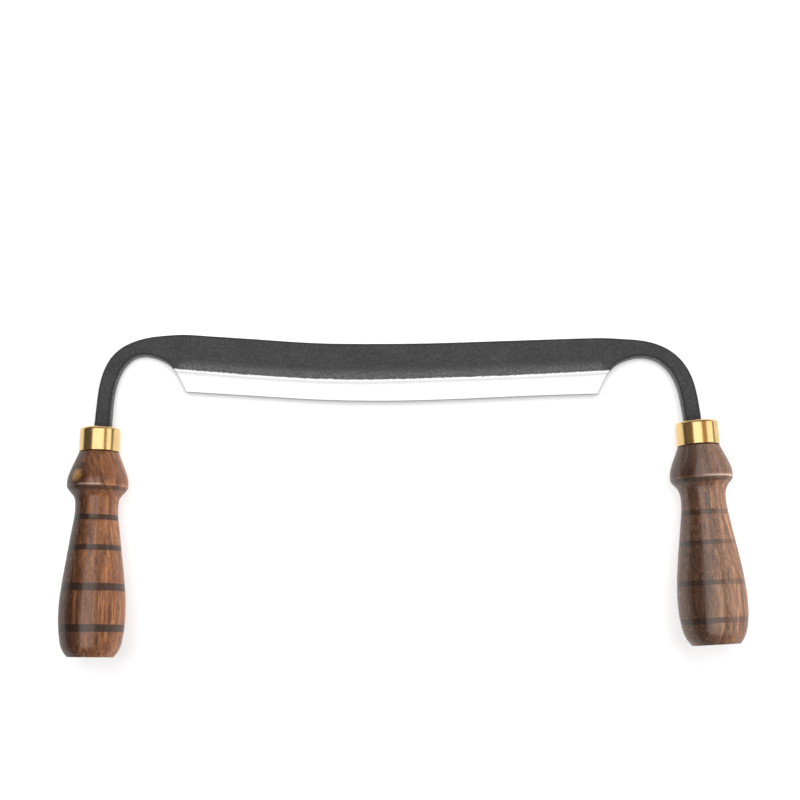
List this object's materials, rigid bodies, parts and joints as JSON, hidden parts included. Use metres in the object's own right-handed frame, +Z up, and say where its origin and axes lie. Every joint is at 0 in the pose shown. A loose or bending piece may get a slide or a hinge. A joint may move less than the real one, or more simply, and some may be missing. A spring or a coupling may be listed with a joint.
{
  "type": "drawknife",
  "caption": "Two-handed woodworking drawknife: forged single-bevel blade with bent shanks, brass ferrules and turned wooden handles.",
  "frame": {"origin": "middle of the knife's footprint, on the surface it lies on", "axes": "+X along the blade to the right-hand handle, +Y from the handles towards the spine, +Z up, with the knife lying as it rests on a table, ground bevel up"},
  "size_m": [0.4226, 0.2008, 0.055],
  "materials": {
    "forged_steel": "black forge scale with a polished ground bevel",
    "brass": "polished",
    "walnut": "oiled, satin, with burnt rings",
    "washer_steel": "plain"
  },
  "bodies": {
    "root": {"blade": "forged_steel", "ferrule_left": "brass", "ferrule_right": "brass", "handle_left": "walnut", "handle_right": "walnut", "washer_left": "washer_steel", "washer_right": "washer_steel"}
  },
  "joints": []
}
